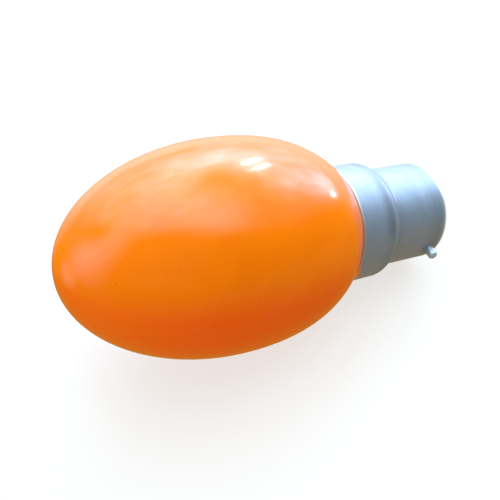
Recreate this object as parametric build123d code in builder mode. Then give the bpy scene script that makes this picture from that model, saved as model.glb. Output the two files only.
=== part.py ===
from build123d import *
import math
import os

os.makedirs("parts", exist_ok=True)

# An oval coloured night lamp with a two-pin bayonet cap, lying on its side as
# it comes to rest on a table: the bulb's belly and the cap's rim touch z = 0.
# Every piece is drawn in the lamp's own section plane, where local x is the
# lamp's axis (positive towards the cap) and local y is the radius. The zero of
# local x is the bulb's widest section.

# ---------------------------------------------------------------- dimensions
# glass bulb
BULB_R = 21.7            # largest radius
NOSE_LEN = 34.0          # widest section to the tip of the nose, elliptical
TAIL_LEN = 29.5          # semi-axis of the cap-side curve
TAIL_EXP = 2.24          # a little blunter than an ellipse
GLASS_T = 0.7            # wall
NECK_R = 11.6            # neck cemented inside the cap
NECK_START = 28.3
NECK_END = 34.0
STEM_R = 3.9             # inside radius of the stem tube
PRESS_FRONT = 12.5       # end of the pinched stem inside the bulb
PRESS_BACK = 15.5        # floor of the stem tube
EXHAUST_R = 2.0          # sealed exhaust tube on the axis
EXHAUST_END = 38.0

# cap
LIP_R = 12.92            # skirt at its open edge, close round the glass
SKIRT_R = 12.8           # skirt where it meets the step
SHELL_R = 11.0           # the 22 mm bayonet shell
CAP_T = 0.3              # sheet
LIP_MEETS_GLASS_R = 12.6
LIP_SOFT = 0.22          # the coat softens the open edge
CAP_LEN = 25.25          # skirt edge to rim
SHELL_LEN = 14.5         # foot of the step to rim
STEP_LEN = 1.5
SHOULDER_ROUND = 2.9     # broad shoulder of the drawn skirt
FOOT_ROUND = 1.9         # hollow curve from the step into the shell
RIM_ROUND = 1.0
RIM_HOLE_R = 9.2         # opening left by the turned-in rim

# bayonet pins
PIN_R = 1.05
PIN_TIP_R = 13.5         # pin tip from the lamp's axis
PIN_BACK = 3.2           # pin centre behind the rim
PIN_COLLAR_R = 1.22      # small collar that stands on the shell
PIN_COLLAR_T = 0.18
PIN_SHANK_R = 0.75       # riveted shank through the sheet
PIN_HEAD_R = 1.25
PIN_ROLL = 80.5          # degrees round the axis from straight down

# insulator and contacts
FACE_OUT = 0.7           # insulator face in front of the rim
FLANGE = 1.9             # thickness of its edge under the rim
CONTACT_R = 2.7          # contact plate
CONTACT_PITCH = 11.0     # between the two contact centres
PLATE_T = 0.45
SOLDER_R = 2.0
SOLDER_H = 1.9
WIRE_R = 0.25
WIRE_HOLE_R = 0.4
WIRE_IN_R = 2.95         # wire from the axis inside the stem tube

# ------------------------------------------------------- derived section data
def tail_r(s, length, radius):
    """Radius of the cap-side curve at axial position s."""
    return radius * (1.0 - (s / length) ** TAIL_EXP) ** (1.0 / TAIL_EXP)


def tail_slope(s, length, radius):
    u = s / length
    return (
        -(radius / length)
        * u ** (TAIL_EXP - 1.0)
        * (1.0 - u**TAIL_EXP) ** (1.0 / TAIL_EXP - 1.0)
    )


LIP_S = TAIL_LEN * (1.0 - (LIP_MEETS_GLASS_R / BULB_R) ** TAIL_EXP) ** (1.0 / TAIL_EXP)
RIM_S = LIP_S + CAP_LEN
STEP_FOOT_S = RIM_S - SHELL_LEN
STEP_TOP_S = STEP_FOOT_S - STEP_LEN
PIN_S = RIM_S - PIN_BACK
CEMENT_END = NECK_END - 1.1      # before the shoulder begins to curve
FACE_S = RIM_S + FACE_OUT
SOLDER_S = FACE_S + 0.1          # top of a contact plate
TOP_S = SOLDER_S + SOLDER_H      # contact plane


def bulb_reach(tilt):
    """How far the bulb reaches below its axis when the cap end is tilted down."""
    best = 0.0
    for i in range(4001):
        s = LIP_S * i / 4000.0
        best = max(best, s * math.sin(tilt) + tail_r(s, TAIL_LEN, BULB_R) * math.cos(tilt))
    return best


def rim_reach(tilt):
    return (
        (RIM_S - RIM_ROUND) * math.sin(tilt)
        + (SHELL_R - RIM_ROUND) * math.cos(tilt)
        + RIM_ROUND
    )


# tilt at which the belly and the rim stand on one plane
low, high = math.radians(3.0), math.radians(30.0)
for _ in range(60):
    mid = 0.5 * (low + high)
    if rim_reach(mid) < bulb_reach(mid):
        low = mid
    else:
        high = mid
TILT = 0.5 * (low + high)
CT, ST = math.cos(TILT), math.sin(TILT)
AXIS_H = bulb_reach(TILT)

# the lamp's extent along x, used to centre it on the origin
nose_x = -math.hypot(NOSE_LEN * CT, BULB_R * ST)
tail_x = (RIM_S - RIM_ROUND) * CT + (SHELL_R - RIM_ROUND) * ST + RIM_ROUND
contact_x = TOP_S * CT + 0.5 * CONTACT_PITCH * ST
for i in range(91):
    a = math.radians(i)
    contact_x = max(
        contact_x,
        (SOLDER_S + SOLDER_H * math.sin(a)) * CT
        + (0.5 * CONTACT_PITCH * math.cos(math.radians(90.0 - PIN_ROLL))
           + SOLDER_R * math.cos(a)) * ST,
    )
X0 = -0.5 * (nose_x + max(tail_x, contact_x))

# section plane: local x along the axis, local y up and square to it
section = Plane(origin=(X0, 0, AXIS_H), x_dir=(CT, 0, -ST), z_dir=(0, -1, 0))
lamp_axis = Axis((X0, 0, AXIS_H), (CT, 0, -ST))


def at(s, r=0.0, roll=0.0):
    """World point at axial position s, radius r, roll degrees from straight down."""
    c, q = math.cos(math.radians(roll)), math.sin(math.radians(roll))
    # straight down, square to the axis, is (-ST, 0, -CT); the near side is -y
    return (
        X0 + s * CT - r * c * ST,
        -r * q,
        AXIS_H - s * ST - r * c * CT,
    )


def outward(roll):
    c, q = math.cos(math.radians(roll)), math.sin(math.radians(roll))
    return (-c * ST, -q, -c * CT)


ALONG = (CT, 0, -ST)


def radial_plane(s, r, roll):
    """Plane facing outwards at axial s, radius r; its x runs along the axis."""
    return Plane(origin=at(s, r, roll), x_dir=ALONG, z_dir=outward(roll))


def cross_plane(s, r=0.0, roll=0.0):
    """Plane square to the axis at s, centred at radius r; its x points outwards."""
    return Plane(origin=at(s, r, roll), x_dir=outward(roll), z_dir=ALONG)


# --------------------------------------------------------------- glass bulb
# Outer curve of the bulb: half an ellipse at the nose, then a slightly blunter
# curve that runs in under the skirt and straightens into the neck.
tail_pts = [
    (s, tail_r(s, TAIL_LEN, BULB_R))
    for s in [LIP_S * k / 9.0 for k in range(10)]
]
lip_slope = tail_slope(LIP_S, TAIL_LEN, BULB_R)

inner_r = BULB_R - GLASS_T
inner_tail = TAIL_LEN - GLASS_T
inner_end = LIP_S - 0.45
inner_pts = [
    (s, tail_r(s, inner_tail, inner_r))
    for s in [inner_end * k / 9.0 for k in range(10)]
]
inner_slope = tail_slope(inner_end, inner_tail, inner_r)

# The flare that closes the neck: a quarter ellipse from the neck's end down to
# the stem tube, drawn on both faces of the glass.
half = 0.5 * GLASS_T
flare_s0, flare_r0 = 22.0, NECK_R - half
flare_a, flare_b = NECK_END - half - flare_s0, NECK_R - half - (STEM_R + half)


def flare(deg, side):
    q = math.radians(deg)
    s = flare_s0 + flare_a * math.cos(q)
    r = flare_r0 - flare_b * math.sin(q)
    ts, tr = -flare_a * math.sin(q), -flare_b * math.cos(q)
    n = math.hypot(ts, tr)
    # side +1 is the open face towards the cap, -1 the sealed face
    return (s - side * half * tr / n, r + side * half * ts / n)


open_face = [flare(d, 1) for d in (0, 12, 26, 42, 58, 74, 90)]
sealed_face = [flare(d, -1) for d in (90, 74, 58, 42, 26, 14, 6)]

with BuildPart() as glass_envelope:
    with BuildSketch(section):
        with BuildLine():
            EllipticalCenterArc((0, 0), NOSE_LEN, BULB_R, start_angle=90, arc_size=90)
            Spline(*tail_pts, tangents=[(1, 0), (1, lip_slope)])
            Spline(
                tail_pts[-1],
                (NECK_START, NECK_R),
                tangents=[(1, lip_slope), (1, 0)],
            )
            Line((NECK_START, NECK_R), (NECK_END - half, NECK_R))
            ThreePointArc(
                (NECK_END - half, NECK_R),
                (NECK_END - half + half * math.sin(math.pi / 4),
                 NECK_R - half + half * math.cos(math.pi / 4)),
                (NECK_END, NECK_R - half),
            )
            Spline(*open_face, tangents=[(0, -1), (-1, 0)])
            Line(open_face[-1], (PRESS_BACK + 0.8, STEM_R))
            ThreePointArc(
                (PRESS_BACK + 0.8, STEM_R),
                (PRESS_BACK + 0.8 - 0.8 * math.sin(math.pi / 4),
                 STEM_R - 0.8 + 0.8 * math.cos(math.pi / 4)),
                (PRESS_BACK, STEM_R - 0.8),
            )
            Line((PRESS_BACK, STEM_R - 0.8), (PRESS_BACK, EXHAUST_R))
            Line((PRESS_BACK, EXHAUST_R), (EXHAUST_END - EXHAUST_R, EXHAUST_R))
            ThreePointArc(
                (EXHAUST_END - EXHAUST_R, EXHAUST_R),
                (EXHAUST_END - EXHAUST_R + EXHAUST_R * math.sin(math.pi / 4),
                 EXHAUST_R * math.cos(math.pi / 4)),
                (EXHAUST_END, 0),
            )
            # the sealed inside, from the press back round to the nose
            Line((EXHAUST_END, 0), (PRESS_FRONT, 0))
            Line((PRESS_FRONT, 0), (PRESS_FRONT, STEM_R - 1.0))
            Line((PRESS_FRONT, STEM_R - 1.0), (PRESS_BACK - 1.3, sealed_face[0][1]))
            Line((PRESS_BACK - 1.3, sealed_face[0][1]), sealed_face[0])
            Spline(*sealed_face)
            Line(sealed_face[-1], (sealed_face[-1][0], NECK_R - GLASS_T))
            Line((sealed_face[-1][0], NECK_R - GLASS_T), (NECK_START, NECK_R - GLASS_T))
            Spline(
                (NECK_START, NECK_R - GLASS_T),
                inner_pts[-1],
                tangents=[(-1, 0), (-1, -inner_slope)],
            )
            Spline(*reversed(inner_pts), tangents=[(-1, -inner_slope), (-1, 0)])
            EllipticalCenterArc(
                (0, 0), NOSE_LEN - GLASS_T, inner_r, start_angle=90, arc_size=90
            )
            Line((-(NOSE_LEN - GLASS_T), 0), (-NOSE_LEN, 0))
        make_face()
    revolve(axis=lamp_axis)
glass_envelope.part.label = "glass_envelope"
export_step(glass_envelope.part, "parts/glass_envelope.step")

# ---------------------------------------------------------------- cap shell
# Drawn aluminium sheet: a slightly flared skirt over the glass, a softly curved
# step down to the 22 mm shell, and a rim rounded and turned in over the
# insulator.
step_in = 0.14           # axial shift that keeps the sheet even on the step
with BuildPart() as cap_shell:
    with BuildSketch(section):
        with BuildLine():
            Polyline(
                (LIP_S, LIP_R),
                (STEP_TOP_S, SKIRT_R),
                (STEP_FOOT_S, SHELL_R),
                (RIM_S, SHELL_R),
                (RIM_S, RIM_HOLE_R),
                (RIM_S - CAP_T, RIM_HOLE_R),
                (RIM_S - CAP_T, SHELL_R - CAP_T),
                (STEP_FOOT_S - step_in, SHELL_R - CAP_T),
                (STEP_TOP_S - step_in, SKIRT_R - CAP_T),
                (LIP_S, LIP_R - CAP_T),
                close=True,
            )
        make_face()
    revolve(axis=lamp_axis)
    # soft bends of the drawn sheet
    rings = cap_shell.edges().filter_by(GeomType.CIRCLE)

    def ring(s, r):
        """The circular edge at axial position s with radius r."""
        p = Vector(*at(s))
        return [
            e for e in rings
            if abs(e.radius - r) < 0.02 and (e.arc_center - p).length < 0.05
        ]

    fillet(ring(RIM_S, SHELL_R), RIM_ROUND)
    rings = cap_shell.edges().filter_by(GeomType.CIRCLE)
    fillet(ring(RIM_S - CAP_T, SHELL_R - CAP_T), RIM_ROUND - CAP_T)
    rings = cap_shell.edges().filter_by(GeomType.CIRCLE)
    fillet(ring(STEP_TOP_S, SKIRT_R), SHOULDER_ROUND)
    rings = cap_shell.edges().filter_by(GeomType.CIRCLE)
    fillet(ring(STEP_TOP_S - step_in, SKIRT_R - CAP_T), SHOULDER_ROUND - CAP_T)
    rings = cap_shell.edges().filter_by(GeomType.CIRCLE)
    fillet(ring(STEP_FOOT_S, SHELL_R), FOOT_ROUND)
    rings = cap_shell.edges().filter_by(GeomType.CIRCLE)
    fillet(ring(STEP_FOOT_S - step_in, SHELL_R - CAP_T), FOOT_ROUND + CAP_T)
    rings = cap_shell.edges().filter_by(GeomType.CIRCLE)
    fillet(ring(LIP_S, LIP_R), LIP_SOFT)
    # two holes for the bayonet pins
    for side in (0, 180):
        with BuildSketch(radial_plane(PIN_S, SHELL_R - 2.0, PIN_ROLL + side)):
            Circle(PIN_SHANK_R)
        extrude(amount=4.0, mode=Mode.SUBTRACT)
cap_shell.part.label = "cap_shell"
export_step(cap_shell.part, "parts/cap_shell.step")


# -------------------------------------------------------------- cement ring
def skirt_inside(s):
    k = (s - LIP_S) / (STEP_TOP_S - step_in - LIP_S)
    return (LIP_R - CAP_T) + k * (SKIRT_R - LIP_R)


with BuildPart() as cement_ring:
    with BuildSketch(section):
        with BuildLine():
            Polyline(
                (NECK_START + 0.1, NECK_R),
                (CEMENT_END, NECK_R),
                (CEMENT_END, skirt_inside(CEMENT_END)),
                (NECK_START + 0.1, skirt_inside(NECK_START + 0.1)),
                close=True,
            )
        make_face()
    revolve(axis=lamp_axis)
cement_ring.part.label = "cement_ring"
export_step(cement_ring.part, "parts/cement_ring.step")

# ---------------------------------------------------------------- insulator
# Dark moulded disc held under the turned-in rim, with a raised face, a recess
# for each contact plate and a hole for each lead wire.
contact_rolls = (PIN_ROLL - 90.0, PIN_ROLL + 90.0)
with BuildPart() as insulator:
    with BuildSketch(section):
        with BuildLine():
            Polyline(
                (RIM_S - 5.3, 0),
                (RIM_S - 5.3, 8.6),
                (RIM_S - FLANGE, 9.3),
                (RIM_S - FLANGE, SHELL_R - CAP_T),
                (RIM_S - RIM_ROUND, SHELL_R - CAP_T),
            )
            ThreePointArc(
                (RIM_S - RIM_ROUND, SHELL_R - CAP_T),
                (RIM_S - RIM_ROUND + (RIM_ROUND - CAP_T) * math.sin(math.pi / 4),
                 SHELL_R - RIM_ROUND + (RIM_ROUND - CAP_T) * math.cos(math.pi / 4)),
                (RIM_S - CAP_T, SHELL_R - RIM_ROUND),
            )
            Polyline(
                (RIM_S - CAP_T, SHELL_R - RIM_ROUND),
                (RIM_S - CAP_T, RIM_HOLE_R),
                (RIM_S, RIM_HOLE_R),
                (FACE_S - 0.1, RIM_HOLE_R - 0.35),
                (FACE_S, RIM_HOLE_R - 0.6),
                (FACE_S, 0),
                (RIM_S - 5.3, 0),
            )
        make_face()
    revolve(axis=lamp_axis)
    for roll in contact_rolls:
        with BuildSketch(cross_plane(FACE_S, 0.5 * CONTACT_PITCH, roll)):
            Circle(CONTACT_R)
        extrude(amount=-(PLATE_T - 0.1), mode=Mode.SUBTRACT)
        with BuildSketch(cross_plane(FACE_S, 0.5 * CONTACT_PITCH, roll)):
            Circle(WIRE_HOLE_R)
        extrude(amount=-8.0, mode=Mode.SUBTRACT)
insulator.part.label = "insulator"
export_step(insulator.part, "parts/insulator.step")

# ----------------------------------------------------- pins, contacts, wires
# Each pin has a domed tip, a small collar on the shell, a thinner shank through
# the sheet and a riveted head inside.
for name, roll in (("bayonet_pin_near", PIN_ROLL), ("bayonet_pin_far", PIN_ROLL + 180.0)):
    with BuildPart() as pin:
        with BuildSketch(radial_plane(PIN_S, SHELL_R, roll)):
            Circle(PIN_R)
        extrude(amount=PIN_TIP_R - SHELL_R)
        tip = pin.edges().filter_by(GeomType.CIRCLE).sort_by(
            Axis(at(PIN_S, 0, roll), outward(roll))
        )[-1]
        fillet(tip, PIN_R * 0.72)
        with BuildSketch(radial_plane(PIN_S, SHELL_R, roll)):
            Circle(PIN_COLLAR_R)
        extrude(amount=PIN_COLLAR_T)
        with BuildSketch(radial_plane(PIN_S, 10.0, roll)):
            Circle(PIN_SHANK_R)
        extrude(amount=SHELL_R - 10.0)
        with BuildSketch(radial_plane(PIN_S, 9.7, roll)):
            Circle(PIN_HEAD_R)
        extrude(amount=0.8)
    pin.part.label = name
    export_step(pin.part, "parts/" + name + ".step")

for side, roll in (("a", contact_rolls[0]), ("b", contact_rolls[1])):
    plate_back = SOLDER_S - PLATE_T
    with BuildPart() as plate:
        with BuildSketch(cross_plane(plate_back, 0.5 * CONTACT_PITCH, roll)):
            Circle(CONTACT_R)
            Circle(WIRE_HOLE_R, mode=Mode.SUBTRACT)
        extrude(amount=PLATE_T)
    plate.part.label = "contact_plate_" + side
    export_step(plate.part, "parts/contact_plate_" + side + ".step")

    # a soft dome of solder that closes the plate's hole and makes the contact
    dome_axis = Axis(at(SOLDER_S, 0.5 * CONTACT_PITCH, roll), ALONG)
    dome_plane = Plane(
        origin=at(SOLDER_S, 0.5 * CONTACT_PITCH, roll),
        x_dir=ALONG,
        z_dir=tuple(Vector(*ALONG).cross(Vector(*outward(roll)))),
    )
    with BuildPart() as dome:
        with BuildSketch(dome_plane):
            with BuildLine():
                Line((0, 0), (0, SOLDER_R))
                Spline(
                    (0, SOLDER_R),
                    (SOLDER_H * 0.75, SOLDER_R * 0.72),
                    (SOLDER_H, 0),
                    tangents=[(1, 0.12), (0, -1)],
                )
                Line((SOLDER_H, 0), (0, 0))
            make_face()
        revolve(axis=dome_axis)
    dome.part.label = "solder_" + side
    export_step(dome.part, "parts/solder_" + side + ".step")

    # lead wire from the stem's press, out along the stem tube to the plate
    with BuildPart() as wire:
        with BuildLine() as path:
            FilletPolyline(
                at(PRESS_BACK, WIRE_IN_R, roll),
                at(RIM_S - 14.0, WIRE_IN_R, roll),
                at(RIM_S - 6.0, 0.5 * CONTACT_PITCH, roll),
                at(SOLDER_S, 0.5 * CONTACT_PITCH, roll),
                radius=8.0,
            )
        with BuildSketch(cross_plane(PRESS_BACK, WIRE_IN_R, roll)):
            Circle(WIRE_R)
        sweep(path=path.wires()[0])
    wire.part.label = "lead_wire_" + side
    export_step(wire.part, "parts/lead_wire_" + side + ".step")

print("tilt %.3f deg, axis height %.3f, x0 %.3f" % (math.degrees(TILT), AXIS_H, X0))
print("lip %.3f rim %.3f pin %.3f contact plane %.3f" % (LIP_S, RIM_S, PIN_S, TOP_S))
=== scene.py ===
import math

import bpy
from mathutils import Matrix, Vector

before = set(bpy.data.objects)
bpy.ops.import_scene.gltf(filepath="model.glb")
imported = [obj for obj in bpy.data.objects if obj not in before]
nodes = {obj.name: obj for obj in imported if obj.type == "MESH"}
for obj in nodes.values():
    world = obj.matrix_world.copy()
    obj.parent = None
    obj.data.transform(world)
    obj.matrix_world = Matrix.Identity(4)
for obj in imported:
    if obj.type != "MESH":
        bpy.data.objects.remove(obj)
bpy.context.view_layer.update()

# ------------------------------------------------------------ lamp's own axis
# The same values as the CAD: the lamp lies with its axis tilted in the XZ
# plane. AXIS_O is the centre of the bulb's widest section.
TILT = math.radians(13.979)
CT, ST = math.cos(TILT), math.sin(TILT)
AXIS_O = (-0.009782, 0.0, 0.022655)
AXIS_D = (CT, 0.0, -ST)
SIDE_D = (0.0, 1.0, 0.0)
UP_D = (ST, 0.0, CT)
LIP_S = 25.223        # mm from the widest section
BAND_S = 32.9         # where the skirt begins to turn into the step
FOOT_S = 36.8         # end of the step on the shell
RIM_S = 50.473


# ------------------------------------------------------------- node helpers
class Tree:
    """Short names for building a node tree."""

    def __init__(self, tree):
        self.t = tree
        self.n = tree.nodes
        self.l = tree.links
        self.n.clear()

    def link(self, a, socket):
        self.l.new(a, socket)

    def put(self, value, socket):
        """A link if value is a socket, else a constant."""
        if isinstance(value, bpy.types.NodeSocket):
            self.l.new(value, socket)
        elif isinstance(value, (tuple, list)) and len(value) == 3 and len(socket.default_value) == 4:
            socket.default_value = (*value, 1.0)
        else:
            socket.default_value = value

    def node(self, kind, **props):
        n = self.n.new(kind)
        for k, v in props.items():
            setattr(n, k, v)
        return n

    def math(self, op, a, b=None, c=None, clamp=False):
        n = self.node("ShaderNodeMath", operation=op, use_clamp=clamp)
        self.put(a, n.inputs[0])
        if b is not None:
            self.put(b, n.inputs[1])
        if c is not None:
            self.put(c, n.inputs[2])
        return n.outputs[0]

    def vec(self, op, a, b=None, scale=None):
        n = self.node("ShaderNodeVectorMath", operation=op)
        self.put(a, n.inputs[0])
        if b is not None:
            self.put(b, n.inputs[1])
        if scale is not None:
            self.put(scale, n.inputs["Scale"])
        return n.outputs["Value"] if op in ("DOT_PRODUCT", "LENGTH", "DISTANCE") else n.outputs[0]

    def combine(self, x, y, z):
        n = self.node("ShaderNodeCombineXYZ")
        for v, s in zip((x, y, z), n.inputs):
            self.put(v, s)
        return n.outputs[0]

    def ramp(self, x, lo, hi, to_lo=0.0, to_hi=1.0, smooth=True):
        """x mapped from lo..hi to to_lo..to_hi, held outside."""
        n = self.node("ShaderNodeMapRange", interpolation_type="SMOOTHSTEP" if smooth else "LINEAR")
        self.put(x, n.inputs["Value"])
        self.put(lo, n.inputs["From Min"])
        self.put(hi, n.inputs["From Max"])
        self.put(to_lo, n.inputs["To Min"])
        self.put(to_hi, n.inputs["To Max"])
        return n.outputs["Result"]

    def noise(self, vector, scale, detail=2.0, rough=0.5, distort=0.0):
        n = self.node("ShaderNodeTexNoise", noise_dimensions="3D")
        self.put(vector, n.inputs["Vector"])
        self.put(scale, n.inputs["Scale"])
        self.put(detail, n.inputs["Detail"])
        self.put(rough, n.inputs["Roughness"])
        self.put(distort, n.inputs["Distortion"])
        return n.outputs["Fac"]

    def noise_colour(self, vector, scale, detail=2.0):
        n = self.node("ShaderNodeTexNoise", noise_dimensions="3D")
        self.put(vector, n.inputs["Vector"])
        self.put(scale, n.inputs["Scale"])
        self.put(detail, n.inputs["Detail"])
        return n.outputs["Color"]

    def mix(self, factor, a, b, blend="MIX"):
        n = self.node("ShaderNodeMix", data_type="RGBA", blend_type=blend)
        self.put(factor, n.inputs["Factor"])
        self.put(a, n.inputs[6])
        self.put(b, n.inputs[7])
        return n.outputs[2]

    def bump(self, height, distance, strength=1.0, normal=None):
        n = self.node("ShaderNodeBump")
        self.put(strength, n.inputs["Strength"])
        self.put(distance, n.inputs["Distance"])
        self.put(height, n.inputs["Height"])
        if normal is not None:
            self.put(normal, n.inputs["Normal"])
        return n.outputs["Normal"]


def material(name):
    m = bpy.data.materials.new(name)
    m.use_nodes = True
    t = Tree(m.node_tree)
    out = t.node("ShaderNodeOutputMaterial")
    shader = t.node("ShaderNodeBsdfPrincipled")
    t.link(shader.outputs[0], out.inputs[0])
    return m, t, shader


def place(t):
    """Object position in mm, and the lamp's own coordinates: s along the axis,
    radius, and a vector (s, cos, sin) for marks that run round the axis."""
    co = t.node("ShaderNodeTexCoord").outputs["Object"]
    rel = t.vec("SUBTRACT", co, AXIS_O)
    mm = t.vec("SCALE", rel, scale=1000.0)
    s = t.vec("DOT_PRODUCT", mm, AXIS_D)
    u = t.vec("DOT_PRODUCT", mm, SIDE_D)
    v = t.vec("DOT_PRODUCT", mm, UP_D)
    r = t.math("SQRT", t.math("ADD", t.math("MULTIPLY", u, u), t.math("MULTIPLY", v, v)))
    safe = t.math("MAXIMUM", r, 0.001)
    cu = t.math("DIVIDE", u, safe)
    cv = t.math("DIVIDE", v, safe)
    return mm, s, r, cu, cv


def dress(names, m):
    for name in names:
        o = nodes[name]
        if not o.material_slots:
            o.data.materials.append(m)
        for slot in o.material_slots:
            slot.material = m


# ------------------------------------------------------------------ lacquer
def lacquer():
    m, t, p = material("orange_lacquer")
    mm, s, r, cu, cv = place(t)

    # thickness of the dipped coat: broad clouds, faint runs along the lamp,
    # and a fine grain of pigment
    cloud = t.noise(mm, 0.085, 3.0, 0.55)
    runs = t.noise(t.combine(t.math("MULTIPLY", s, 0.05), t.math("MULTIPLY", cu, 5.0), t.math("MULTIPLY", cv, 5.0)), 1.0, 3.0, 0.6)
    grain = t.noise(mm, 2.6, 3.0, 0.65)
    deep = (0.780, 0.138, 0.0)
    light = (0.820, 0.155, 0.0)
    body = t.mix(t.ramp(cloud, 0.30, 0.70), deep, light)
    body = t.mix(t.ramp(runs, 0.35, 0.75, 0.0, 0.30), body, (0.790, 0.140, 0.0))
    # the underside is painted deeper and redder, as painted shade with warm bounce light from below
    above = t.math("DIVIDE", t.math("MULTIPLY", r, cv), t.math("ADD", r, 3.5))
    painted_underside_shade = t.math("MULTIPLY", t.ramp(above, 0.08, 0.46, 0.92, 0.0), t.ramp(s, -31.0, -12.0, 0.58, 1.0))
    body = t.mix(painted_underside_shade, body, (0.815, 0.078, 0.0))
    body = t.mix(t.ramp(grain, 0.40, 0.72, 0.0, 0.20), body, (0.840, 0.185, 0.002))
    body = t.mix(t.ramp(grain, 0.28, 0.42, 0.14, 0.0), body, (0.600, 0.082, 0.0))

    # a few dust nibs caught in the coat
    nib = t.node("ShaderNodeTexVoronoi", feature="F1", voronoi_dimensions="3D")
    t.put(mm, nib.inputs["Vector"])
    t.put(0.23, nib.inputs["Scale"])
    t.put(1.0, nib.inputs["Randomness"])
    speck = t.ramp(nib.outputs["Distance"], 0.02, 0.05, 1.0, 0.0)
    body = t.mix(t.math("MULTIPLY", speck, 0.35), body, (0.42, 0.060, 0.002))

    # the coat thins over the shoulder just in front of the cap, and ends
    # under it: the neck and stem are bare glass
    thin = t.ramp(s, LIP_S - 2.2, LIP_S + 0.1, 0.0, 0.35)
    body = t.mix(thin, body, (0.80, 0.170, 0.002))
    bare = t.ramp(s, LIP_S + 1.2, LIP_S + 2.2)
    body = t.mix(bare, body, (0.62, 0.68, 0.66))
    t.put(body, p.inputs["Base Color"])

    # gloss: mostly even, with faint hazy patches and fine rubbing marks
    haze = t.noise(mm, 0.16, 4.0, 0.6)
    rub = t.noise(t.vec("MULTIPLY", mm, (0.8, 5.0, 5.0)), 0.9, 3.0, 0.7)
    rough = t.ramp(haze, 0.35, 0.75, 0.115, 0.165)
    rough = t.math("ADD", rough, t.ramp(rub, 0.55, 0.80, 0.0, 0.05))
    rough = t.math("ADD", rough, t.math("MULTIPLY", speck, 0.12))
    t.put(rough, p.inputs["Roughness"])

    # surface: slow waves of the blown glass, orange peel, the nibs
    wave = t.noise(mm, 0.075, 1.0, 0.4)
    peel = t.noise(mm, 0.95, 2.0, 0.5)
    n1 = t.bump(wave, 0.00034)
    n2 = t.bump(peel, 0.0000062, normal=n1)
    n3 = t.bump(speck, 0.00003, normal=n2)
    t.put(n3, p.inputs["Normal"])
    p.inputs["IOR"].default_value = 1.5
    p.inputs["Specular IOR Level"].default_value = 0.5
    # the dyed coat gives its gloss a slight rose cast
    p.inputs["Specular Tint"].default_value = (1.0, 0.76, 0.81, 1.0)
    return m


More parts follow.
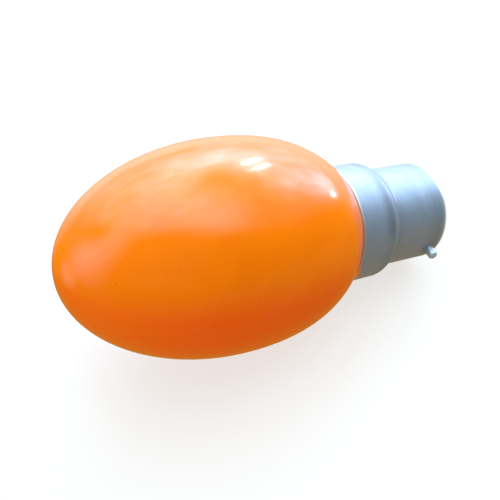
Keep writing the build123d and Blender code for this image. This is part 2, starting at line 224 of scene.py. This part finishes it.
# ----------------------------------------------------------------- aluminium
def cap_metal():
    m, t, p = material("cap_aluminium")
    mm, s, r, cu, cv = place(t)
    round_ = lambda k, a: t.combine(t.math("MULTIPLY", s, k), t.math("MULTIPLY", cu, a), t.math("MULTIPLY", cv, a))

    lines = t.noise(round_(7.0, 0.9), 1.0, 4.0, 0.6)      # fine drawing lines round the shell
    bands = t.noise(round_(0.9, 0.8), 1.0, 3.0, 0.5)      # broad bands left by the die
    cloud = t.noise(mm, 0.22, 4.0, 0.6)                   # uneven oxide
    spots = t.noise(mm, 1.7, 3.0, 0.7)

    base = t.mix(t.ramp(cloud, 0.32, 0.70), (0.245, 0.285, 0.368), (0.285, 0.325, 0.416))
    base = t.mix(t.ramp(lines, 0.35, 0.70, 0.0, 0.16), base, (0.205, 0.245, 0.275))
    base = t.mix(t.ramp(spots, 0.60, 0.78, 0.0, 0.40), base, (0.200, 0.220, 0.235))
    # painted highlight along the rim; painted shade in a band round the shoulder
    # and in fainter ones in the hollow past it and behind the rim
    # painted highlight: a light band along the rim's edge
    painted_rim_highlight = t.ramp(s, RIM_S - 1.25, RIM_S - 0.85, 0.0, 0.85)
    # painted shade in a band just behind the rim
    painted_shade_behind_rim = t.math("MULTIPLY", t.ramp(s, RIM_S - 6.0, RIM_S - 3.2), t.ramp(s, RIM_S - 2.4, RIM_S - 1.2, 1.0, 0.0))
    base = t.mix(t.math("MULTIPLY", painted_shade_behind_rim, 0.30), base, (0.150, 0.170, 0.195))
    base = t.mix(painted_rim_highlight, base, (0.78, 0.76, 0.69))
    # painted shade: a dark band round the shoulder of the step, weaker low down and at the very top
    painted_shoulder_shade = t.math("MULTIPLY", t.ramp(s, BAND_S - 2.2, BAND_S - 0.3), t.ramp(s, BAND_S + 0.4, BAND_S + 1.3, 1.0, 0.0))
    painted_shoulder_shade = t.math("MULTIPLY", painted_shoulder_shade, t.math("MULTIPLY", t.ramp(cv, 0.30, 0.62, 0.22, 0.66), t.ramp(cv, 0.80, 1.0, 1.0, 0.5)))
    base = t.mix(painted_shoulder_shade, base, (0.115, 0.130, 0.150))
    # painted shade in the hollow between the shoulder and the foot, damping the reflection there
    painted_hollow_shade = t.math("MULTIPLY", t.ramp(s, BAND_S + 1.0, BAND_S + 1.7), t.ramp(s, FOOT_S - 0.8, FOOT_S + 0.8, 1.0, 0.0))
    base = t.mix(t.math("MULTIPLY", painted_hollow_shade, 0.42), base, (0.170, 0.195, 0.215))
    # painted light: the lip's face is lighter than the cap, pale grey above and brownish orange below, lifting the
    # shade in the crevice against the glass
    painted_lip_light = t.ramp(s, LIP_S + 0.05, LIP_S + 0.6, 0.8, 0.0)
    base = t.mix(painted_lip_light, base, t.mix(t.ramp(cv, 0.64, 0.95), (0.500, 0.330, 0.275), (0.600, 0.570, 0.590)))

    # the lamp was dipped aslant, so the lacquer runs onto the cap's lip by
    # nothing at its upper front and by about two millimetres below
    low = t.ramp(cv, 0.35, -0.33, smooth=False)
    over = t.math("MULTIPLY", t.math("POWER", low, 1.7), 2.0)
    over = t.math("MAXIMUM", over, t.ramp(cu, 0.16, 0.42, 0.0, 1.5))
    wavy = t.noise(round_(0.6, 3.2), 1.0, 3.0, 0.6)
    edge = t.math("SUBTRACT", t.math("SUBTRACT", s, LIP_S - 0.20), over)
    edge = t.math("ADD", edge, t.ramp(wavy, 0.3, 0.7, -0.14, 0.14, smooth=False))
    paint = t.ramp(edge, -0.10, 0.16, 1.0, 0.0)
    coat = t.mix(t.ramp(cloud, 0.3, 0.7), (0.760, 0.128, 0.0), (0.800, 0.158, 0.001))
    base = t.mix(paint, base, coat)
    t.put(base, p.inputs["Base Color"])
    # clean metal shows through a dull oxide film that is thicker in patches
    metal = t.ramp(cloud, 0.30, 0.72, 0.46, 0.56)
    clear = t.math("SUBTRACT", 1.0, paint)
    t.put(t.math("MULTIPLY", metal, clear), p.inputs["Metallic"])

    rough = t.ramp(bands, 0.30, 0.70, 0.40, 0.48)
    rough = t.math("ADD", rough, t.ramp(lines, 0.40, 0.75, -0.01, 0.03))
    rough = t.math("ADD", rough, t.math("MULTIPLY", painted_shoulder_shade, 0.12))
    rough = t.math("SUBTRACT", rough, t.math("MULTIPLY", painted_rim_highlight, 0.10))
    rough = t.math("MULTIPLY", rough, t.ramp(paint, 0.0, 1.0, 1.0, 0.36, smooth=False))
    t.put(rough, p.inputs["Roughness"])

    # scratches from going in and out of a holder run along the shell
    scratch = t.noise(t.combine(t.math("MULTIPLY", s, 0.35), t.math("MULTIPLY", cu, 42.0), t.math("MULTIPLY", cv, 42.0)), 1.0, 2.0, 0.6)
    scratch = t.math("MULTIPLY", t.ramp(scratch, 0.66, 0.74), t.ramp(s, FOOT_S, FOOT_S + 2.0))
    n1 = t.bump(bands, 0.00007)
    n2 = t.bump(lines, 0.0000025, strength=clear, normal=n1)
    n3 = t.bump(scratch, 0.000005, strength=0.6, normal=n2)
    n4 = t.bump(cloud, 0.00004, normal=n3)
    n5 = t.bump(paint, 0.00006, normal=n4)
    t.put(n5, p.inputs["Normal"])
    return m


def pin_metal():
    m, t, p = material("pin_aluminium")
    mm, s, r, cu, cv = place(t)
    cloud = t.noise(mm, 1.1, 4.0, 0.6)
    fine = t.noise(mm, 6.0, 3.0, 0.6)
    base = t.mix(t.ramp(cloud, 0.35, 0.70), (0.235, 0.275, 0.325), (0.295, 0.34, 0.395))
    base = t.mix(t.ramp(fine, 0.60, 0.78, 0.0, 0.4), base, (0.14, 0.15, 0.16))
    tip = t.ramp(r, 11.5, 13.0, 0.0, 0.75)
    base = t.mix(tip, base, (0.46, 0.50, 0.53))
    t.put(base, p.inputs["Base Color"])
    t.put(t.ramp(fine, 0.3, 0.7, 0.40, 0.55), p.inputs["Metallic"])
    t.put(t.ramp(cloud, 0.3, 0.7, 0.34, 0.44), p.inputs["Roughness"])
    n1 = t.bump(cloud, 0.00004)
    n2 = t.bump(fine, 0.000006, normal=n1)
    t.put(n2, p.inputs["Normal"])
    return m


# ------------------------------------------------------ insulator and contacts
def black_glass():
    m, t, p = material("black_glass_insulator")
    mm, s, r, cu, cv = place(t)
    flow = t.noise(mm, 0.35, 3.0, 0.6, 0.6)
    pits = t.noise(mm, 2.4, 4.0, 0.65)
    base = t.mix(t.ramp(flow, 0.3, 0.7), (0.010, 0.010, 0.012), (0.026, 0.026, 0.030))
    base = t.mix(t.ramp(pits, 0.62, 0.80, 0.0, 0.5), base, (0.060, 0.058, 0.056))
    t.put(base, p.inputs["Base Color"])
    t.put(t.math("ADD", t.ramp(flow, 0.3, 0.7, 0.16, 0.28), t.ramp(pits, 0.6, 0.8, 0.0, 0.15)), p.inputs["Roughness"])
    n1 = t.bump(flow, 0.00022)
    n2 = t.bump(pits, 0.00003, normal=n1)
    t.put(n2, p.inputs["Normal"])
    return m


def brass():
    m, t, p = material("contact_brass")
    mm, s, r, cu, cv = place(t)
    tarnish = t.noise(mm, 0.8, 4.0, 0.6)
    rub = t.noise(t.vec("MULTIPLY", mm, (1.0, 9.0, 1.5)), 1.0, 3.0, 0.6)
    base = t.mix(t.ramp(tarnish, 0.35, 0.70), (0.560, 0.420, 0.200), (0.700, 0.560, 0.300))
    base = t.mix(t.ramp(rub, 0.55, 0.75, 0.0, 0.4), base, (0.360, 0.265, 0.130))
    t.put(base, p.inputs["Base Color"])
    p.inputs["Metallic"].default_value = 1.0
    t.put(t.ramp(rub, 0.3, 0.75, 0.26, 0.44), p.inputs["Roughness"])
    n1 = t.bump(tarnish, 0.00003)
    t.put(t.bump(rub, 0.00001, normal=n1), p.inputs["Normal"])
    return m


def solder():
    m, t, p = material("tin_solder")
    mm, s, r, cu, cv = place(t)
    lumps = t.noise(mm, 0.75, 3.0, 0.55)
    frost = t.noise(mm, 5.0, 4.0, 0.7)
    base = t.mix(t.ramp(lumps, 0.3, 0.7), (0.56, 0.57, 0.58), (0.74, 0.745, 0.75))
    base = t.mix(t.ramp(frost, 0.58, 0.78, 0.0, 0.5), base, (0.36, 0.36, 0.37))
    # pressed flat and grey where the holder's plunger bears on it
    worn = t.ramp(s, RIM_S + 2.2, RIM_S + 2.7, 0.0, 0.5)
    base = t.mix(worn, base, (0.42, 0.41, 0.40))
    t.put(base, p.inputs["Base Color"])
    p.inputs["Metallic"].default_value = 1.0
    t.put(t.math("ADD", t.ramp(frost, 0.3, 0.7, 0.24, 0.36), t.math("MULTIPLY", worn, 0.2)), p.inputs["Roughness"])
    n1 = t.bump(lumps, 0.00028)
    t.put(t.bump(frost, 0.00001, normal=n1), p.inputs["Normal"])
    return m


# ------------------------------------------------------------- hidden pieces
def cement():
    m, t, p = material("cap_cement")
    mm, s, r, cu, cv = place(t)
    a = t.noise(mm, 0.6, 5.0, 0.65)
    b = t.noise(mm, 4.0, 3.0, 0.6)
    base = t.mix(t.ramp(a, 0.3, 0.7), (0.46, 0.40, 0.31), (0.62, 0.57, 0.47))
    base = t.mix(t.ramp(b, 0.60, 0.75, 0.0, 0.5), base, (0.30, 0.26, 0.20))
    t.put(base, p.inputs["Base Color"])
    t.put(t.ramp(a, 0.3, 0.7, 0.80, 0.95), p.inputs["Roughness"])
    n1 = t.bump(a, 0.0003)
    t.put(t.bump(b, 0.00006, normal=n1), p.inputs["Normal"])
    return m


def copper():
    m, t, p = material("copper_wire")
    mm, s, r, cu, cv = place(t)
    a = t.noise(mm, 1.6, 4.0, 0.6)
    base = t.mix(t.ramp(a, 0.3, 0.7), (0.60, 0.28, 0.16), (0.78, 0.42, 0.26))
    base = t.mix(t.ramp(a, 0.62, 0.75, 0.0, 0.5), base, (0.30, 0.13, 0.07))
    t.put(base, p.inputs["Base Color"])
    p.inputs["Metallic"].default_value = 1.0
    t.put(t.ramp(a, 0.3, 0.7, 0.28, 0.45), p.inputs["Roughness"])
    t.put(t.bump(a, 0.00002), p.inputs["Normal"])
    return m


dress(["glass_envelope"], lacquer())
dress(["cap_shell"], cap_metal())
dress(["bayonet_pin_near", "bayonet_pin_far"], pin_metal())
dress(["insulator"], black_glass())
dress(["contact_plate_a", "contact_plate_b"], brass())
dress(["solder_a", "solder_b"], solder())
dress(["cement_ring"], cement())
dress(["lead_wire_a", "lead_wire_b"], copper())


# --------------------------------------------------------- floor and backdrop
def plane(name, size, z):
    h = 0.5 * size
    me = bpy.data.meshes.new(name)
    me.from_pydata([(-h, -h, z), (h, -h, z), (h, h, z), (-h, h, z)], [], [(0, 1, 2, 3)])
    o = bpy.data.objects.new(name, me)
    bpy.context.scene.collection.objects.link(o)
    return o


floor = plane("floor", 6.0, 0.0)
fm, ft, fp = material("floor_pale")
fco = ft.node("ShaderNodeTexCoord").outputs["Object"]
soft = ft.noise(fco, 9.0, 3.0, 0.5)
ft.put(ft.mix(ft.ramp(soft, 0.3, 0.7), (0.155, 0.148, 0.140), (0.165, 0.158, 0.150)), fp.inputs["Base Color"])
fp.inputs["Roughness"].default_value = 0.75
fp.inputs["Specular IOR Level"].default_value = 0.2
fp.inputs["Emission Color"].default_value = (1.0, 0.97, 0.94, 1.0)
fp.inputs["Emission Strength"].default_value = 0.72
floor.data.materials.append(fm)
floor.visible_glossy = False


def backdrop():
    """A pale dome behind everything, seen by the camera only."""
    me = bpy.data.meshes.new("backdrop")
    rings, seg, rad = 12, 48, 2.9
    verts, faces = [], []
    for i in range(rings + 1):
        e = math.radians(-8.0 + 98.0 * i / rings)
        for j in range(seg):
            a = 2.0 * math.pi * j / seg
            verts.append((rad * math.cos(e) * math.cos(a), rad * math.cos(e) * math.sin(a), rad * math.sin(e)))
    for i in range(rings):
        for j in range(seg):
            k = (j + 1) % seg
            faces.append((i * seg + j, i * seg + k, (i + 1) * seg + k, (i + 1) * seg + j))
    me.from_pydata(verts, [], faces)
    o = bpy.data.objects.new("backdrop", me)
    bpy.context.scene.collection.objects.link(o)
    m = bpy.data.materials.new("backdrop_pale")
    m.use_nodes = True
    t = Tree(m.node_tree)
    out = t.node("ShaderNodeOutputMaterial")
    em = t.node("ShaderNodeEmission")
    em.inputs["Color"].default_value = (1.0, 1.0, 1.0, 1.0)
    em.inputs["Strength"].default_value = 1.0
    t.link(em.outputs[0], out.inputs[0])
    me.materials.append(m)
    for flag in ("visible_diffuse", "visible_glossy", "visible_transmission", "visible_shadow", "visible_volume_scatter"):
        setattr(o, flag, False)
    return o


backdrop()


# -------------------------------------------------------------------- light
def direction(az, el):
    a, e = math.radians(az), math.radians(el)
    return (math.cos(e) * math.cos(a), math.cos(e) * math.sin(a), math.sin(e))


def soft_sky():
    """Soft light from above and behind, as from an open side of a room: bright
    overhead and round the back, with the viewer's side dim and a dull table
    colour below. The bright part is made of broad overlapping glows."""
    world = bpy.data.worlds.new("soft_sky")
    world.use_nodes = True
    bpy.context.scene.world = world
    t = Tree(world.node_tree)
    out = t.node("ShaderNodeOutputWorld")
    bg = t.node("ShaderNodeBackground")
    t.link(bg.outputs[0], out.inputs[0])
    d0 = t.node("ShaderNodeTexCoord").outputs["Generated"]
    wob = t.vec("SUBTRACT", t.noise_colour(d0, 3.4, 2.0), (0.5, 0.5, 0.5))
    d = t.vec("NORMALIZE", t.vec("ADD", d0, t.vec("SCALE", wob, scale=0.06)))
    z = t.vec("DOT_PRODUCT", d, (0, 0, 1))

    def side(n, at, width):
        v = Vector(n).normalized()
        return t.ramp(t.vec("DOT_PRODUCT", d, tuple(v)), at - width, at + width)

    def lobe(az, el, inner, outer):
        c = t.vec("DOT_PRODUCT", d, direction(az, el))
        return t.ramp(c, math.cos(math.radians(outer)), math.cos(math.radians(inner)))

    def glow(az, el, turn, wide, tall):
        """A soft oval round a direction, turned, with its two half widths."""
        c = Vector(direction(az, el))
        e1 = Vector((-math.sin(math.radians(az)), math.cos(math.radians(az)), 0.0))
        e2 = c.cross(e1)
        q = math.radians(turn)
        a = (math.cos(q) * e1 + math.sin(q) * e2) / math.sin(math.radians(wide))
        b = (math.cos(q) * e2 - math.sin(q) * e1) / math.sin(math.radians(tall))
        u = t.vec("DOT_PRODUCT", d, tuple(a))
        v = t.vec("DOT_PRODUCT", d, tuple(b))
        r2 = t.math("MULTIPLY_ADD", u, u, t.math("MULTIPLY", v, v))
        g = t.math("EXPONENT", t.math("MULTIPLY", r2, -1.0))
        front = t.math("GREATER_THAN", t.vec("DOT_PRODUCT", d, tuple(c)), 0.0)
        return t.math("MULTIPLY", g, front)

    # open part of the sky: two edges meet over the viewer, a third stands left
    open_ = t.math("MULTIPLY", side((0.614, 1.0, 0.4025), 0.05, 0.16), side((-0.119, 0.69, 0.53), -0.01, 0.20))
    open_ = t.math("MAXIMUM", open_, side((-0.39, 0.92, 0.0), 0.10, 0.20))

    amp = t.ramp(z, 0.0, 0.80, 0.2, 1.85, smooth=False)
    for az, el, turn, wide, tall, add in GLOWS:
        amp = t.math("MULTIPLY_ADD", glow(az, el, turn, wide, tall), add, amp)
    for az, el, turn, wide, tall, cut in GAPS:
        keep = t.math("MULTIPLY_ADD", glow(az, el, turn, wide, tall), -cut, 1.0)
        amp = t.math("MULTIPLY", amp, keep)
    # uneven, as seen through leaves or against far houses
    patchy = t.noise(d0, 8.5, 4.0, 0.6)
    amp = t.math("MULTIPLY", amp, t.ramp(patchy, 0.34, 0.66, 0.66, 1.34, smooth=False))
    amp = t.math("MULTIPLY", amp, open_)

    above = t.ramp(z, -0.06, 0.02)
    # a little bluer low round the back than overhead
    hue = t.mix(t.ramp(z, 0.25, 0.85), (0.66, 0.835, 1.17), (0.66, 0.895, 1.03))
    bright = t.vec("SCALE", hue, scale=amp)
    dim = t.mix(t.ramp(z, 0.0, 0.9), (0.062, 0.102, 0.060), (0.085, 0.130, 0.085))
    sky = t.vec("ADD", bright, dim)
    # the table: dull in front, shining with the sky's light at the back
    shine = t.math("MULTIPLY", lobe(64, 0, 30, 66), t.ramp(z, -0.62, 0.0, 0.35, 1.66))
    shine = t.math("ADD", shine, t.math("MULTIPLY", lobe(158, -8, 3, 18), 0.9))
    table = t.vec("ADD", (0.43, 0.27, 0.040), t.vec("SCALE", (0.76, 0.88, 1.16), scale=shine))
    col = t.mix(above, table, sky)
    t.put(col, bg.inputs["Color"])
    bg.inputs["Strength"].default_value = 1.0


# glows of the bright part: azimuth, height, turn, half widths, strength
GLOWS = (
    (72, 57, 32, 24, 44, 4.9),
    (50, 29, 64, 29, 9, 5.0),
    (41, 31, -31, 10, 6, 15.0),
    (34, 36, -36, 7, 2, 16.0),
    (38, 43, -34, 10, 7, 20.0),
    (71, 29, -7, 9.5, 15, 3.8),
    (61, 26, 0, 6, 17, 4.7),
    (15, 37, 42, 8.4, 18, 11.0),
    (15, 10, -76, 18, 9, 8.0),
    (54, -3, 69, 10, 40, 1.4),
    (159, 32, 20, 17, 26, 2.9),
    (90, 86, 0, 26, 26, 1.3),
)
# darker gaps in it, with the share of the light that each takes away
GAPS = (
    (41, 49, -100, 22, 17, 0.81),
    (-3, 48, 6, 35, 14, 0.87),
    (150, 42, -80, 11, 9, 0.87),
    (142, 33, -100, 12, 7, 0.92),
    (133, 11, 56, 35, 14, 0.79),
    (103, 25, 0, 18, 13, 0.14),
)

soft_sky()


def panel(name, at, toward, size, radiance, colour=(1.0, 1.0, 1.0)):
    """A small rectangular lamp at a point, facing another."""
    data = bpy.data.lights.new(name, "AREA")
    data.shape = "RECTANGLE"
    data.size, data.size_y = size
    data.energy = radiance * math.pi * size[0] * size[1]
    data.color = colour
    o = bpy.data.objects.new(name, data)
    bpy.context.scene.collection.objects.link(o)
    o.location = at
    o.rotation_euler = (Vector(toward) - Vector(at)).to_track_quat("-Z", "Y").to_euler()
    o.visible_camera = False
    return o


top = (-0.004, 0.0, 0.044)
panel("key", (0.364, 0.367, 0.341), top, (0.026, 0.085), 26.0)
panel("key_low", (0.394, 0.302, 0.374), top, (0.030, 0.110), 20.0)
panel("spark", (0.597, 0.094, 0.090), (0.009, -0.008, 0.036), (0.027, 0.027), 90.0)

# broad fill from the viewer's side, too soft and wide to show as a highlight
fill = panel("fill", (-0.45, -0.75, 0.70), (0.0, 0.0, 0.02), (0.9, 0.9), 1.85, (1.0, 0.86, 0.70))
fill.visible_glossy = False

# ------------------------------------------------------------------- camera
cam = bpy.data.cameras.new("camera")
cam.sensor_fit = "HORIZONTAL"
cam.sensor_width = 36.0
cam.lens = 36.0 * 653.5 / 500.0
cam.clip_start = 0.005
cam.clip_end = 20.0
cam.shift_x = 0.0
cam.shift_y = 0.001
cam_o = bpy.data.objects.new("camera", cam)
bpy.context.scene.collection.objects.link(cam_o)
right = Vector((0.89497, -0.44612, 0.0)).normalized()
view = Vector((0.28998, 0.58173, -0.75993)).normalized()
up = right.cross(view).normalized()
right = view.cross(up).normalized()
m = Matrix.Identity(4)
for i, axis in enumerate((right, up, -view)):
    for j in range(3):
        m[j][i] = axis[j]
m.translation = Vector((-0.043665, -0.07935, 0.12181))
cam_o.matrix_world = m
bpy.context.scene.camera = cam_o

vs = bpy.context.scene.view_settings
vs.view_transform = "Standard"
vs.look = "None"
vs.exposure = 0.0
vs.gamma = 1.0
